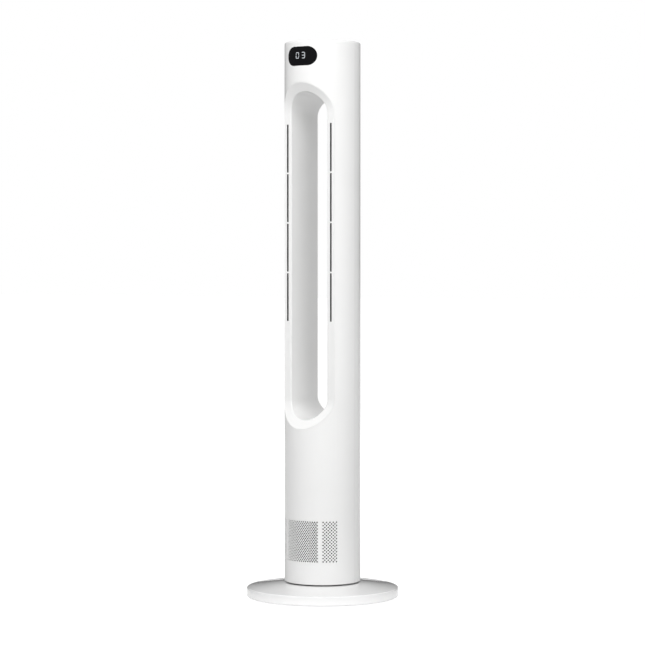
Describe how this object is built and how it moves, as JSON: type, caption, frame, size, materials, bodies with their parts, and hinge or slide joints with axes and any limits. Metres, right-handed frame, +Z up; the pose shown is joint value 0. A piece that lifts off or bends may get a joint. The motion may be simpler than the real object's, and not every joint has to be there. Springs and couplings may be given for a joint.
{
  "type": "bladeless fan",
  "caption": "Round upright bladeless tower fan on a flat disc base, with a tall pill-shaped slot through it, narrow air slits, perforated vents and a lit display window.",
  "frame": {"origin": "on the floor under the middle of the round base", "axes": "+Z up along the tower, the front with the display faces -Y, +X to the right seen from the front"},
  "size_m": [0.272, 0.272, 0.994],
  "materials": {
    "body_white": "satin",
    "base_white": "polished",
    "inner_plastic": "moulded",
    "dark_plastic": "moulded",
    "gear_nylon": "moulded",
    "window_black": "polished",
    "digit_light": "lit",
    "steel": "plated",
    "ball_chrome": "polished",
    "weight_iron": "painted",
    "motor_metal": "die cast",
    "magnet": "coated",
    "board_green": "solder mask",
    "foot_rubber": "matt"
  },
  "bodies": {
    "base": {"base_cover": "base_white", "base_plate": "dark_plastic", "base_weight": "weight_iron", "rubber_feet": "foot_rubber", "base_screws": "steel", "power_socket": "dark_plastic", "pivot_hub": "inner_plastic", "hub_screws": "steel", "lower_race": "steel", "bearing_balls": "ball_chrome", "ball_cage": "gear_nylon", "sun_gear": "gear_nylon", "gear_screws": "steel"},
    "tower": {"upper_race": "steel", "tower_floor": "inner_plastic", "swing_motor": "motor_metal", "swing_motor_screws": "steel", "control_board": "board_green", "board_screws": "steel", "board_capacitors": "dark_plastic", "board_connectors": "gear_nylon", "intake_deck": "dark_plastic", "inlet_ring": "dark_plastic", "dust_screen": "dark_plastic", "fan_housing": "inner_plastic", "guide_vanes": "inner_plastic", "motor_gasket": "foot_rubber", "motor_case": "motor_metal", "motor_stator": "magnet", "motor_bearings": "steel", "motor_screws": "steel", "pod_cap": "inner_plastic", "duct_manifold": "inner_plastic", "left_duct": "dark_plastic", "right_duct": "dark_plastic", "slot_liner": "body_white", "front_bezel": "body_white", "rear_bezel": "body_white", "front_casing": "body_white", "rear_casing": "body_white", "front_grille": "body_white", "front_left_grille": "body_white", "front_right_grille": "body_white", "rear_grille": "body_white", "rear_left_grille": "body_white", "rear_right_grille": "body_white", "casing_screws": "steel", "head_plate": "inner_plastic", "display_board": "board_green", "display_screws": "steel", "digit_module": "dark_plastic", "digit_segments": "digit_light", "display_window": "window_black", "top_cap": "body_white"},
    "pinion": {"drive_pinion": "gear_nylon", "pinion_shaft": "steel"},
    "impeller": {"impeller": "dark_plastic", "impeller_nut": "steel", "motor_shaft": "steel", "motor_rotor": "magnet"}
  },
  "joints": [
    {"name": "tower_swing", "type": "hinge", "parent": "base", "child": "tower", "pos_m": [0, 0, 0.03], "axis": [0, 0, 1], "range_deg": [-40, 40]},
    {"name": "pinion_spin", "type": "hinge", "parent": "tower", "child": "pinion", "pos_m": [0, 0.0375, 0.042], "axis": [0, 0, 1], "range_deg": [-160, 160]},
    {"name": "impeller_spin", "type": "hinge", "parent": "tower", "child": "impeller", "pos_m": [0, 0, 0.2], "axis": [0, 0, 1], "continuous": true}
  ],
  "couplings": [
    {"joint": "pinion_spin", "follows": "tower_swing", "ratio": 4}
  ]
}
